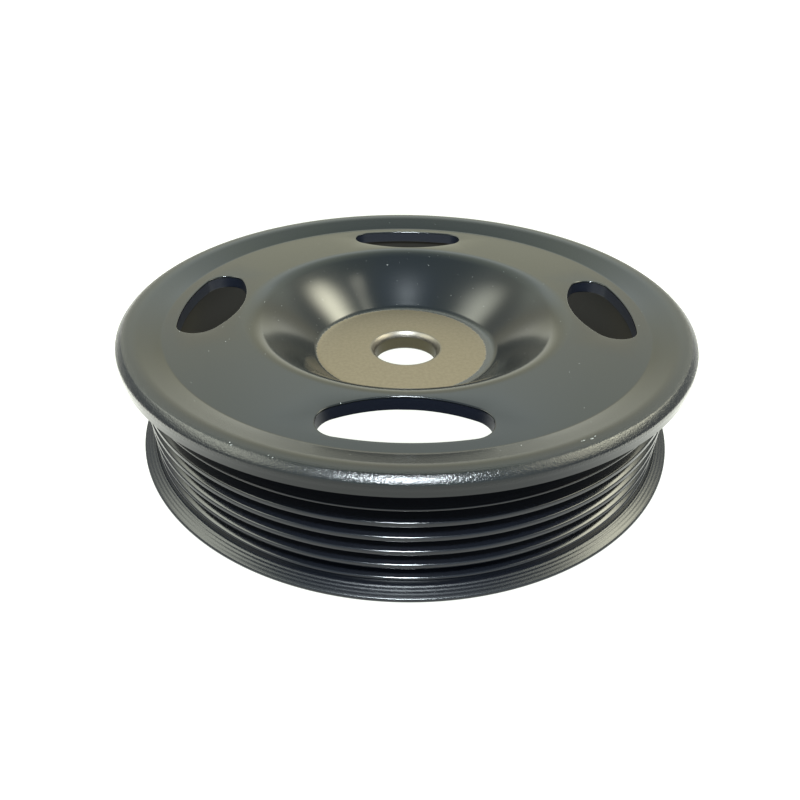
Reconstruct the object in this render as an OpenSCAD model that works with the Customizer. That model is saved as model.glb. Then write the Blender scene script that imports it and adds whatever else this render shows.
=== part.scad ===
// Crankshaft pulley for a six-groove poly-V belt, spun from one steel blank.
// It stands on its open side: Z is the axis, the base of the bottom flange is at Z = 0.

/* [Overall] */
// Outer diameter of the front flange
flange_d = 134; // [130:1:150]
// Outer diameter of the bottom flange
base_flange_d = 134; // [131:1:150]
// Height of the flat front plate's top above the base
plate_h = 27.4; // [26.8:0.1:34]
// Thickness of the plate and dish
sheet_t = 3.2; // [2:0.1:4.4]

/* [Front flange] */
// Diameter of the crease where the plate turns up to the flange
crease_d = 115.2; // [113:0.2:119]
// Slope of the raised band outside the crease, in degrees
band_slope = 21.5; // [6:0.5:24]
// Radius of the crown on top of the flange
crown_r = 7.3; // [4:0.1:9]
// Slope of the crown where it runs into the flange's rounded edge, in degrees
crown_end = 2.5; // [0:0.1:12]
// Radius of the flange's rounded outer edge
edge_r = 1.9; // [1:0.1:2.6]
// Height of the straight part of the flange's outer edge
edge_h = 1.5; // [0.4:0.1:1.8]

/* [Belt track] */
// Number of V grooves
groove_count = 6; // [4:1:6]
// Distance from one groove to the next
groove_pitch = 3.56; // [3.2:0.01:3.7]
// Angle between the two sides of a groove, in degrees
groove_angle = 40; // [34:1:44]
// Diameter over the ribs between the grooves
rib_d = 127.4; // [124:0.2:130]
// Width of the flat on top of a rib
rib_flat = 0.35; // [0.2:0.05:0.8]
// Radius of a rib's corners
rib_r = 0.4; // [0.2:0.05:0.45]
// Radius at the bottom of a groove
root_r = 0.5; // [0.3:0.05:0.6]
// Height of the first rib's middle below the plate's top
first_rib_drop = 3.74; // [3.4:0.02:4]
// Height of the flange's root above the first rib's middle
rib_land = 1.45; // [0.8:0.05:1.7]
// Wall left between the grooves and the inside of the drum
drum_wall = 2.5; // [1.6:0.1:3.4]

/* [Bottom flange] */
// Thickness of the bottom flange at its edge
base_flange_t = 1.75; // [1.7:0.05:2.2]
// Radius of the bottom flange's rounded edge
base_edge_r = 0.8; // [0.3:0.05:0.85]

/* [Dish and hub] */
// Diameter where the flat plate starts to curve down into the dish
dish_d = 80.4; // [78:0.2:82]
// Radius of the dish's shoulder
shoulder_r = 8; // [5:0.5:10]
// Radius of the fillet between the dish and the hub's face
fillet_r = 3; // [1.5:0.1:4]
// Diameter of the hub's flat machined face
face_d = 43.6; // [40:0.2:48]
// Depth of the hub's face below the plate's top
face_depth = 12; // [8:0.1:14]
// Thickness of the hub at the bore
hub_t = 5.1; // [4.5:0.1:7]
// Diameter of the flat seat under the hub
seat_d = 36; // [26:0.5:40]
// Diameter of the bore
bore_d = 15.8; // [10:0.1:20]
// Radius of the bore's rounded upper lip
lip_r = 1.6; // [0.6:0.1:2]

/* [Windows] */
// Number of windows in the plate
window_count = 4; // [3:1:4]
// Diameter of the circle that the windows' outer edges follow
window_outer_d = 109.2; // [104:0.2:111]
// Diameter of the circle that the windows' inner edges touch
window_inner_d = 81.2; // [80:0.2:88]
// Radius of a window's inner edge
window_inner_r = 28.8; // [24:0.2:34]
// Radius of a window's corners
window_corner_r = 4.9; // [3:0.1:6]

/* [Hidden] */
$fn = 240;
// slack by which a cutter passes the surfaces that it cuts
past = 1;
// steps in a quarter turn of an arc of the section
arc_steps = 8;
// radius of the bend between the plate and the inside of the drum
drum_bend_r = 3;
// break on the sharp edges of the hub's seat, the bore's lower end and the drum's inner edge
edge_break = 0.5;

flange_r = flange_d / 2;
base_flange_r = base_flange_d / 2;
crease_r = crease_d / 2;
rib_top_r = rib_d / 2;
face_r = face_d / 2;
bore_r = bore_d / 2;
seat_r = seat_d / 2;
dish_r = dish_d / 2;

// Belt track: a groove's half width where its straight side starts, and its depth
flank = groove_angle / 2;
rib_half = rib_flat / 2 + rib_r * cos(flank);
rib_corner_drop = rib_r * (1 - sin(flank));
groove_half = groove_pitch / 2 - rib_half;
side_run = (groove_half - root_r * cos(flank)) / tan(flank);
groove_depth = rib_corner_drop + side_run + root_r * (1 - sin(flank));
root_circle_r = rib_top_r - groove_depth;
drum_in_r = root_circle_r - drum_wall;
first_rib_z = plate_h - first_rib_drop;
last_rib_z = first_rib_z - groove_count * groove_pitch;

// Front flange: the crown's circle is tangent to the sloping band and the edge's circle to the crown
edge_center_r = flange_r - edge_r;
crown_center_r = edge_center_r - (crown_r - edge_r) * sin(crown_end);
band_rise = (crown_center_r - crown_r * sin(band_slope) - crease_r) * tan(band_slope);
crown_center_z = plate_h + band_rise - crown_r * cos(band_slope);
edge_center_z = crown_center_z + (crown_r - edge_r) * cos(crown_end);
flange_under_z = edge_center_z - edge_h;
flange_root_z = first_rib_z + rib_land;

// Dish: the cone is the common tangent of the shoulder's circle and the fillet's circle
face_z = plate_h - face_depth;
seat_z = face_z - hub_t;
shoulder_z = plate_h - shoulder_r;
fillet_z = face_z + fillet_r;
centers_run = dish_r - face_r;
centers_rise = shoulder_z - fillet_z;
dish_slope = asin((shoulder_r + fillet_r) / norm([centers_run, centers_rise]))
    + atan2(centers_rise, centers_run);

// Windows: their corners' circles lie inside both edges' circles
window_outer_r = window_outer_d / 2;
window_arc_center = window_inner_d / 2 + window_inner_r;
corner_a = window_outer_r - window_corner_r;
corner_b = window_inner_r - window_corner_r;
corner_x = (pow(corner_a, 2) - pow(corner_b, 2) + pow(window_arc_center, 2)) / (2 * window_arc_center);
corner_y = sqrt(pow(corner_a, 2) - pow(corner_x, 2));
corner_turn = atan2(corner_y, corner_x);
corner_inner_turn = atan2(corner_y, corner_x - window_arc_center);

// Points of an arc about c, from angle a to angle b
function arc(c, r, a, b) =
    let (n = max(2, ceil(abs(b - a) / 90 * arc_steps)))
    [for (i = [0 : n]) c + r * [cos(a + (b - a) * i / n), sin(a + (b - a) * i / n)]];

// Top side from the bore's lip to the dish's shoulder
function dish_top() = concat(
    arc([bore_r + lip_r, face_z - lip_r], lip_r, 180, 90),
    arc([face_r, fillet_z], fillet_r, -90, -90 + dish_slope),
    arc([dish_r, shoulder_z], shoulder_r, 90 + dish_slope, 90));

// Front flange from the crease over the crown and the edge to the drum
function flange_top() = concat(
    [[crease_r, plate_h]],
    arc([crown_center_r, crown_center_z], crown_r, 90 + band_slope, 90 - crown_end),
    arc([edge_center_r, edge_center_z], edge_r, 90 - crown_end, 0),
    [[flange_r, flange_under_z], [rib_top_r, flange_root_z]]);

// One groove, from the middle of the rib above it to the middle of the rib below it
function groove(z) = concat(
    arc([rib_top_r - rib_r, z - rib_flat / 2], rib_r, 0, -90 + flank),
    arc([root_circle_r + root_r, z - groove_pitch / 2], root_r, 90 + flank, 270 - flank),
    arc([rib_top_r - rib_r, z - groove_pitch + rib_flat / 2], rib_r, 90 - flank, 0));

function track() = [for (i = [0 : groove_count - 1]) each groove(first_rib_z - i * groove_pitch)];

// Bottom flange, base and the inside of the drum up to the bend
function base_side() = concat(
    [[rib_top_r, base_flange_t]],
    arc([base_flange_r - base_edge_r, base_flange_t - base_edge_r], base_edge_r, 90, 0),
    arc([base_flange_r - base_edge_r, base_edge_r], base_edge_r, 0, -90),
    [[drum_in_r + edge_break, 0], [drum_in_r, edge_break]]);

// Under side from the drum's bend to the lower end of the bore
function under_side() = concat(
    arc([drum_in_r - drum_bend_r, plate_h - sheet_t - drum_bend_r], drum_bend_r, 0, 90),
    arc([dish_r, shoulder_z], shoulder_r - sheet_t, 90, 90 + dish_slope),
    arc([face_r, fillet_z], fillet_r + sheet_t, -90 + dish_slope, -90),
    [[seat_r + edge_break, face_z - sheet_t], [seat_r, seat_z + edge_break], [seat_r - edge_break, seat_z],
     [bore_r + edge_break, seat_z], [bore_r, seat_z + edge_break]]);

// The whole wall in section, radius to the right and height up
module section_2d() {
    polygon(concat(dish_top(), flange_top(), track(), base_side(), under_side()));
}

// One window in plan: the space between two arcs, with its corners rounded
module window_2d() {
    far = 2 * window_outer_r;
    dir_out = [cos(corner_turn), sin(corner_turn)];
    dir_in = [cos(corner_inner_turn), sin(corner_inner_turn)];
    corner = [corner_x, corner_y];
    outer_touch = corner + window_corner_r * dir_out;
    inner_touch = corner + window_corner_r * dir_in;
    intersection() {
        circle(r = window_outer_r);
        translate([window_arc_center, 0])
            circle(r = window_inner_r);
        polygon([
            outer_touch,
            inner_touch,
            inner_touch - [far, 0],
            [inner_touch.x - far, -inner_touch.y],
            [inner_touch.x, -inner_touch.y],
            [outer_touch.x, -outer_touch.y],
            [outer_touch.x + far, -outer_touch.y],
            outer_touch + [far, 0]
        ]);
    }
    for (side = [-1, 1])
        translate([corner_x, side * corner_y])
            circle(r = window_corner_r);
}

module windows() {
    for (i = [0 : window_count - 1])
        rotate([0, 0, i * 360 / window_count - 90])
            translate([0, 0, plate_h - sheet_t - past])
                linear_extrude(sheet_t + 2 * past)
                    window_2d();
}

module pulley() {
    color("dimgray")
        difference() {
            rotate_extrude()
                section_2d();
            windows();
        }
}

pulley();
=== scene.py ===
"""Crankshaft pulley for a six-groove belt, dressed and lit as in its product photograph."""

import sys
import logging
import math
from dataclasses import dataclass, field
from enum import Enum
from typing import Iterable, Sequence

import bmesh
import bpy
from mathutils import Matrix, Quaternion, Vector
from mathutils.geometry import delaunay_2d_cdt


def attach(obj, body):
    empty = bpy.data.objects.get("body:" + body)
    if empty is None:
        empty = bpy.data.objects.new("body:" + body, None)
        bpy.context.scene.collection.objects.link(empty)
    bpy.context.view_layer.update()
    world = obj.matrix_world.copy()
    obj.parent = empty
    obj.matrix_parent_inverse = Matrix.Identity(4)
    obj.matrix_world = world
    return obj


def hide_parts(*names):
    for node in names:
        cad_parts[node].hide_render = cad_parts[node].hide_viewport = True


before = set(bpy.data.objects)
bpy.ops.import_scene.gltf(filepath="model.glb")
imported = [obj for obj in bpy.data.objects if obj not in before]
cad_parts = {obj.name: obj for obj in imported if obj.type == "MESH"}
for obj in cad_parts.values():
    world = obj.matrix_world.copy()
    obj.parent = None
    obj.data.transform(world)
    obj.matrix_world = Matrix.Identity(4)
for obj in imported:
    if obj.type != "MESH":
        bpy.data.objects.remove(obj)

LOG = logging.getLogger("pulley")
MM = 0.001
# distance in millimetres under which two points of a section are one
SAME_POINT = 1e-4

Point2 = tuple[float, float]
Point3 = tuple[float, float, float]
Colour = tuple[float, float, float]
Span = tuple[float, float]
Bend = tuple[float, float]


class Plate(Enum):
    """The two flat sides of the front plate."""

    TOP = "top"
    UNDER = "under"


def arc(centre: Point2, radius: float, start: float, end: float, step: float = 7.5) -> list[Point2]:
    """Points of an arc in the section.

    Args:
        centre: The arc's centre, radius first and height second, in millimetres.
        radius: The arc's own radius in millimetres.
        start: Angle of the first point in degrees.
        end: Angle of the last point in degrees.
        step: Largest angle between two points in degrees.

    Returns:
        The points from start to end, both included.
    """
    count = max(2, math.ceil(abs(end - start) / step))
    turned = [math.radians(start + (end - start) * i / count) for i in range(count + 1)]
    return [(centre[0] + radius * math.cos(a), centre[1] + radius * math.sin(a)) for a in turned]


def run_of_arcs(start: Point2, tilt: float, bends: Sequence[Bend], reach: float) -> list[Point2]:
    """Points of arcs that continue one another, from a tilt of the surface to an upright wall.

    Args:
        start: First point, in millimetres.
        tilt: The surface's tilt there in degrees, 0 for level.
        bends: Radius of each arc and the tilt where it ends.
        reach: How far out the upright wall lies; a last arc is fitted to meet it.

    Returns:
        The points, with the first.
    """
    points = [start]
    for radius, end in bends:
        turn = math.radians(tilt)
        centre = (points[-1][0] - radius * math.sin(turn), points[-1][1] - radius * math.cos(turn))
        points += arc(centre, radius, 90 - tilt, 90 - end, step=min(4.0, 60.0 / radius))[1:]
        tilt = end
    turn = math.radians(tilt)
    last = (reach - points[-1][0]) / (1 - math.sin(turn))
    centre = (points[-1][0] - last * math.sin(turn), points[-1][1] - last * math.cos(turn))
    return points + arc(centre, last, 90 - tilt, 0, step=6)[1:]


def held(points: Sequence[Point2], hold: float) -> list[Point2]:
    """Adds a point near the ends of each run that is long beside its neighbours, to keep its shading flat.

    Args:
        points: The section's points in order, in millimetres.
        hold: Distance of the added points from the run's ends in millimetres.

    Returns:
        The points with the added ones between them, and with no point given twice.
    """
    kept: list[Point2] = [points[0]]
    for here in points[1:]:
        if math.dist(kept[-1], here) > SAME_POINT:
            kept.append(here)
    runs = [0.0, *(math.dist(a, b) for a, b in zip(kept, kept[1:])), 0.0]
    out: list[Point2] = [kept[0]]
    for i in range(1, len(kept)):
        last, here, run = kept[i - 1], kept[i], runs[i]
        for t, beside in ((hold / run, runs[i - 1]), (1 - hold / run, runs[i + 1])):
            if run > 4 * hold and beside < run / 2:
                out.append((last[0] + (here[0] - last[0]) * t, last[1] + (here[1] - last[1]) * t))
        out.append(here)
    return out


@dataclass
class Section:
    """The pulley's wall in section, with the sizes of its source, in millimetres and degrees."""

    flange_r: float = 67.0
    base_flange_r: float = 67.0
    plate_h: float = 27.4
    sheet_t: float = 3.2
    crease_r: float = 57.6
    crease_fillet: float = 1.0
    band_slope: float = 21.5
    crown_r: float = 7.3
    crown_end: float = 2.5
    edge_r: float = 1.9
    edge_h: float = 1.5
    # arcs of the rim's edge, each with its radius and the tilt where it ends
    edge_bends: tuple[Bend, ...] = ((0.9, 26.0), (5.0, 42.0))
    groove_count: int = 6
    groove_pitch: float = 3.56
    groove_angle: float = 40.0
    rib_top_r: float = 63.7
    rib_flat: float = 0.35
    rib_r: float = 0.4
    # the first full rib is turned sharper
    sharp_flat: float = 0.06
    sharp_r: float = 0.2
    root_r: float = 0.5
    first_rib_drop: float = 3.74
    rib_land: float = 1.45
    drum_wall: float = 2.5
    drum_bend_r: float = 3.0
    dish_r: float = 40.2
    shoulder_r: float = 8.0
    fillet_r: float = 3.0
    face_r: float = 21.8
    face_depth: float = 12.0
    hub_t: float = 5.1
    seat_r: float = 18.0
    bore_r: float = 7.9
    lip_start: float = 9.15
    # arcs of the bore's lip, as for the rim's edge
    lip_bends: tuple[Bend, ...] = ((0.45, 36.0), (3.2, 54.0))
    edge_break: float = 0.5
    hold: float = 0.1
    # width of the face's outer and inner strips that keep their shading flat
    face_strip: float = 1.5
    # radii between which the plate with its windows lies
    inner_ring: float = 40.0
    outer_ring: float = 55.3
    # how much shallower than its mean slope the dish's wall begins
    dish_bow: float = 6.0
    wall_runs: int = 9
    # turned step under the last rib, from the rib's foot and from where the rim's slope starts
    step_top: float = 0.1
    step_foot: Point2 = (0.07, -0.24)
    step_end: Point2 = (-0.08, -0.16)
    rim_start: Point2 = (64.3, 1.76)
    rim_fall: float = 17.0
    rim_edge_r: float = 0.45
    rim_under_r: float = 0.6
    ring_pitch: float = 0.66
    ring_rise: float = 0.019
    ring_fade: float = 0.75
    ring_runs: int = 30

    @property
    def face_z(self) -> float:
        """Height of the hub's machined face."""
        return self.plate_h - self.face_depth

    @property
    def seat_z(self) -> float:
        """Height of the seat under the hub."""
        return self.face_z - self.hub_t

    @property
    def shoulder_z(self) -> float:
        """Height of the centre of the dish's shoulder."""
        return self.plate_h - self.shoulder_r

    @property
    def fillet_z(self) -> float:
        """Height of the centre of the fillet round the hub's face."""
        return self.face_z + self.fillet_r

    @property
    def dish_slope(self) -> float:
        """Slope of the dish's wall, as a straight tangent of the shoulder and the fillet.

        Returns:
            The slope in degrees.
        """
        run, rise = self.dish_r - self.face_r, self.shoulder_z - self.fillet_z
        lean = math.asin((self.shoulder_r + self.fillet_r) / math.hypot(run, rise))
        return math.degrees(lean + math.atan2(rise, run))

    @property
    def flank(self) -> float:
        """Half of the groove's angle in radians."""
        return math.radians(self.groove_angle / 2)

    @property
    def root_circle_r(self) -> float:
        """Distance from the axis to the bottom of the grooves.

        Returns:
            The radius in millimetres.
        """
        half = self.groove_pitch / 2 - self.rib_flat / 2 - self.rib_r * math.cos(self.flank)
        side = (half - self.root_r * math.cos(self.flank)) / math.tan(self.flank)
        ends = self.rib_r * (1 - math.sin(self.flank)) + self.root_r * (1 - math.sin(self.flank))
        return self.rib_top_r - side - ends

    @property
    def drum_r(self) -> float:
        """Radius of the inside of the drum."""
        return self.root_circle_r - self.drum_wall

    def shoulder_drop(self, radius: float, side: Plate) -> float:
        """Height of the plate's surface at a radius, where the shoulder may have begun.

        Args:
            radius: Distance from the axis in millimetres.
            side: Which side of the plate.

        Returns:
            The height in millimetres.
        """
        bend = self.shoulder_r if side is Plate.TOP else self.shoulder_r - self.sheet_t
        past = max(0.0, self.dish_r - radius)
        return self.shoulder_z + math.sqrt(bend * bend - past * past)

    def wall(self, top: Point2, foot: Point2, slope: float) -> list[Point2]:
        """Section of the dish's wall, which begins shallower under the shoulder than it ends.

        Args:
            top: Where the shoulder's arc ends.
            foot: Where the fillet's arc begins.
            slope: The wall's mean slope in degrees.

        Returns:
            The points between those two.
        """
        run = top[0] - foot[0]
        shallow = math.tan(math.radians(slope - self.dish_bow)) * run
        steep = math.tan(math.radians(slope)) * run
        points = []
        for i in range(1, self.wall_runs):
            t = i / self.wall_runs
            at_top, at_foot = 2 * t ** 3 - 3 * t ** 2 + 1, 3 * t ** 2 - 2 * t ** 3
            bend = (t ** 3 - 2 * t ** 2 + t) * shallow + (t ** 3 - t ** 2) * steep
            points.append((top[0] - run * t, at_top * top[1] + at_foot * foot[1] - bend))
        return points

    def hub_and_dish(self) -> list[Point2]:
        """Section of the inner part: from the plate's top down the dish, through the bore and back.

        Returns:
            The points from the plate's top at inner_ring to its under side there.
        """
        slope, seat, face = self.dish_slope, self.seat_z, self.face_z
        start = math.degrees(math.asin((self.dish_r - self.inner_ring) / self.shoulder_r))
        under = math.degrees(math.asin((self.dish_r - self.inner_ring) / (self.shoulder_r - self.sheet_t)))
        shoulder, fillet = (self.dish_r, self.shoulder_z), (self.face_r, self.fillet_z)
        brk = self.edge_break
        points = arc(shoulder, self.shoulder_r, 90 + start, 90 + slope - self.dish_bow, step=2.5)
        foot = arc(fillet, self.fillet_r, -90 + slope, -90, step=5)
        points += self.wall(points[-1], foot[0], slope)
        points += foot
        points += [(self.face_r - self.face_strip, face), (self.lip_start + self.face_strip, face)]
        lip = run_of_arcs((-self.lip_start, face), 0.0, self.lip_bends, -self.bore_r)
        points += [(-r, z) for r, z in lip]
        points += [(self.bore_r, seat + brk), (self.bore_r + brk, seat)]
        points += [(self.seat_r - brk, seat), (self.seat_r, seat + brk)]
        points += [(self.seat_r + brk, face - self.sheet_t)]
        points += arc(fillet, self.fillet_r + self.sheet_t, -90, -90 + slope, step=6)
        points += arc(shoulder, self.shoulder_r - self.sheet_t, 90 + slope, 90 + under, step=5)
        return held(points, self.hold)

    def rib(self, number: int) -> tuple[float, float]:
        """Half of the flat and the corner radius of a rib, counted from 0 at the front flange."""
        flat, bend = (self.sharp_flat, self.sharp_r) if number == 1 else (self.rib_flat, self.rib_r)
        return flat / 2, bend

    def groove(self, number: int) -> list[Point2]:
        """Section of one groove.

        Args:
            number: The groove's number from the top, from 0.

        Returns:
            The points from the top of the rib above it down to the top of the next rib.
        """
        flank = math.degrees(self.flank)
        height = self.plate_h - self.first_rib_drop - number * self.groove_pitch
        (half, bend), (next_half, next_bend) = self.rib(number), self.rib(number + 1)
        low = height - self.groove_pitch
        root = (self.root_circle_r + self.root_r, height - self.groove_pitch / 2)
        return (
            arc((self.rib_top_r - bend, height - half), bend, 0, -90 + flank, step=17.5)
            + arc(root, self.root_r, 90 + flank, 270 - flank, step=28)
            + arc((self.rib_top_r - next_bend, low + next_half), next_bend, 90 - flank, 0, step=11.7)
        )

    def front_flange(self) -> list[Point2]:
        """Section of the rim from the plate's crease over the crown to the first rib.

        Returns:
            The points in that order.
        """
        slope = math.radians(self.band_slope)
        edge_c = self.flange_r - self.edge_r
        crown_c = edge_c - (self.crown_r - self.edge_r) * math.sin(math.radians(self.crown_end))
        rise = (crown_c - self.crown_r * math.sin(slope) - self.crease_r) * math.tan(slope)
        crown_z = self.plate_h + rise - self.crown_r * math.cos(slope)
        edge_z = crown_z + (self.crown_r - self.edge_r) * math.cos(math.radians(self.crown_end))
        reach = self.crease_fillet * math.tan(slope / 2)
        crease = (self.crease_r - reach, self.plate_h + self.crease_fillet)
        points = [(self.outer_ring, self.plate_h)]
        points += arc(crease, self.crease_fillet, -90, -90 + self.band_slope, step=5)
        points += arc((crown_c, crown_z), self.crown_r, 90 + self.band_slope, 90 - self.crown_end, step=3)
        points += run_of_arcs(points[-1], self.crown_end, self.edge_bends, self.flange_r)[1:]
        points += [(self.flange_r, edge_z - self.edge_h)]
        points += [(self.rib_top_r, self.plate_h - self.first_rib_drop + self.rib_land)]
        return points

    def bottom_flange(self) -> list[Point2]:
        """Section of the bottom flange, whose upper side falls outwards and keeps fine turned rings.

        Returns:
            The points from the last rib over the flange's edge to the drum's inner edge.
        """
        fall, edge, under = self.rim_fall, self.rim_edge_r, self.rim_under_r
        (start_r, start_z), corner = self.rim_start, (self.base_flange_r - edge, under)
        end_r = corner[0] + edge * math.sin(math.radians(fall))
        end_z = corner[1] + edge * math.cos(math.radians(fall))
        foot, end = self.step_foot, self.step_end
        points = [
            (self.rib_top_r, start_z + self.step_top),
            (self.rib_top_r + foot[0], start_z + foot[1]),
            (start_r + end[0], start_z + end[1]),
        ]
        for i in range(self.ring_runs):
            share = i / self.ring_runs
            out = (end_r - start_r) * share
            rise = self.ring_rise * (1 - self.ring_fade * share)
            wave = rise * math.sin(math.tau * out / self.ring_pitch)
            points.append((start_r + out, start_z + (end_z - start_z) * share + wave))
        points += arc(corner, edge, 90 - fall, 0, step=12)
        points += arc((self.base_flange_r - under, under), under, 0, -90, step=10)
        return points + [(self.drum_r + self.edge_break, 0), (self.drum_r, self.edge_break)]

    def rim_and_drum(self) -> list[Point2]:
        """Section of the outer part: the rim, the belt track, the bottom flange and the drum's inside.

        Returns:
            The points from the plate's top at outer_ring round to its under side there.
        """
        points = self.front_flange()
        for number in range(self.groove_count):
            points += self.groove(number)
        points += self.bottom_flange()
        bend = (self.drum_r - self.drum_bend_r, self.plate_h - self.sheet_t - self.drum_bend_r)
        points += arc(bend, self.drum_bend_r, 0, 90, step=10)
        return held(points + [(self.outer_ring, self.plate_h - self.sheet_t)], self.hold)


@dataclass
class Window:
    """One punched window, seen in plan with its middle on the +X axis, in millimetres."""

    outer_r: float = 54.6
    inner_edge_r: float = 40.6
    inner_r: float = 28.8
    corner_r: float = 4.9
    top_roll: float = 0.28
    under_burr: float = 0.15
    hold: float = 0.1

    def outline(self, grow: float) -> list[Point2]:
        """The window's outline, with all its arcs grown outwards by the same amount.

        Args:
            grow: How far the outline stands outside the window's wall.

        Returns:
            The points, anticlockwise, with the same count for any grow.
        """
        middle = self.inner_edge_r + self.inner_r
        a, b = self.outer_r - self.corner_r, self.inner_r - self.corner_r
        x = (a * a - b * b + middle * middle) / (2 * middle)
        y = math.sqrt(a * a - x * x)
        out, back = math.degrees(math.atan2(y, x)), math.degrees(math.atan2(y, x - middle))
        corner = self.corner_r + grow
        points = arc((0, 0), self.outer_r + grow, -out, out, step=1.5)
        points += arc((x, y), corner, out, back, step=6)[1:]
        points += arc((middle, 0), self.inner_r + grow, back, 360 - back, step=3)[1:]
        points += arc((x, -y), corner, 360 - back, 360 - out, step=6)[1:-1]
        return points

    def wall_rings(self, top: float, under: float) -> list[tuple[float, float]]:
        """How far out and how high each ring of the window's wall lies.

        Args:
            top: Height of the plate's top.
            under: Height of the plate's under side.

        Returns:
            Pairs of grow and height, from the plate's top to its under side.
        """
        rings = []
        for turn in range(90, -1, -15):
            t = math.radians(turn)
            rings.append((self.top_roll * (1 - math.cos(t)), top - self.top_roll * (1 - math.sin(t))))
        rings.append((0.0, top - self.top_roll - self.hold))
        rings.append((0.0, under + self.under_burr + self.hold))
        for turn in range(0, 91, 30):
            t = math.radians(turn)
            rings.append((self.under_burr * (1 - math.cos(t)), under + self.under_burr * (1 - math.sin(t))))
        return rings


@dataclass
class PlateSector:
    """The share of the flat plate round one window, as a mesh that a tree repeats."""

    section: Section
    window: Window
    windows: int = 4
    steps: int = 240
    # rows of triangles at the sector's two straight sides
    rows: int = 5
    # slack of the triangulation, in millimetres
    slack: float = 1e-7

    def ring(self, radius: float) -> list[Point2]:
        """Points of the sector's share of a ring, at the angles where the swept parts have theirs.

        Args:
            radius: The ring's radius in millimetres.

        Returns:
            The points in plan, anticlockwise.
        """
        share = self.steps // self.windows
        turns = [math.radians(360 / self.steps * (i - share / 2)) for i in range(share + 1)]
        return [(radius * math.cos(t), radius * math.sin(t)) for t in turns]

    def flat(self, side: Plate) -> tuple[list[Point3], list[tuple[int, ...]]]:
        """One flat side of the sector, with the window left out.

        Args:
            side: Which side of the plate.

        Returns:
            The vertices in millimetres and the triangles.
        """
        sizes = self.section
        roll = self.window.top_roll if side is Plate.TOP else self.window.under_burr
        inner, outer = self.ring(sizes.inner_ring), self.ring(sizes.outer_ring)
        width = sizes.outer_ring - sizes.inner_ring
        ends = [self.ring(sizes.inner_ring + width * row / self.rows) for row in range(1, self.rows)]
        border = inner + [e[-1] for e in ends] + outer[::-1] + [e[0] for e in reversed(ends)]
        hole = self.window.outline(roll)
        points = [Vector(p) for p in border + hole]
        first = len(border)
        edges = [(i, (i + 1) % first) for i in range(first)]
        edges += [(first + i, first + (i + 1) % len(hole)) for i in range(len(hole))]
        verts, _, faces, *_ = delaunay_2d_cdt(points, edges, [], 0, self.slack)
        kept = []
        reach = self.window.outer_r + roll
        middle = self.window.inner_edge_r + self.window.inner_r
        bend = math.radians(180 / self.windows)
        for face in faces:
            centre = sum((verts[i] for i in face), Vector((0, 0))) / len(face)
            far, near = centre.length, (centre - Vector((middle, 0))).length
            in_window = far < reach and near < reach and self.inside_hole(centre, hole)
            in_sector = abs(math.atan2(centre.y, centre.x)) < bend
            chord = math.cos(math.pi / self.steps)
            if in_sector and not in_window and sizes.inner_ring * chord < far < sizes.outer_ring:
                kept.append(tuple(face))
        lifted = [(v.x, v.y, sizes.shoulder_drop(v.length, side)) for v in verts]
        return lifted, kept

    @staticmethod
    def inside_hole(point: Vector, outline: Sequence[Point2]) -> bool:
        """Whether a point lies inside a closed outline.

        Args:
            point: The point in plan.
            outline: The outline's points in order.

        Returns:
            True when the point is inside.
        """
        inside = False
        for (x0, y0), (x1, y1) in zip(outline, outline[1:] + outline[:1]):
            if (y0 > point.y) != (y1 > point.y):
                if point.x < x0 + (point.y - y0) / (y1 - y0) * (x1 - x0):
                    inside = not inside
        return inside

    def mesh(self) -> bpy.types.Mesh:
        """The sector's two flat sides and its window's rolled edges and wall.

        Returns:
            A mesh in metres, with its window on the +X axis.
        """
        sizes = self.section
        verts: list[Point3] = []
        faces: list[tuple[int, ...]] = []
        for side in Plate:
            points, tris = self.flat(side)
            base = len(verts)
            verts += points
            turn = 1 if side is Plate.TOP else -1
            faces += [tuple(base + i for i in tri[::turn]) for tri in tris]
        start = len(verts)
        top, under = sizes.plate_h, sizes.plate_h - sizes.sheet_t
        rings = self.window.wall_rings(top, under)
        count = len(self.window.outline(0))
        for grow, height in rings:
            verts += [(x, y, height) for x, y in self.window.outline(grow)]
        for ring in range(len(rings) - 1):
            for i in range(count):
                j = (i + 1) % count
                a, b = start + ring * count, start + (ring + 1) * count
                faces.append((a + i, a + j, b + j, b + i))
        made = bpy.data.meshes.new("plate_sector")
        made.from_pydata([(x * MM, y * MM, z * MM) for x, y, z in verts], [], faces)
        made.update()
        return made


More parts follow.
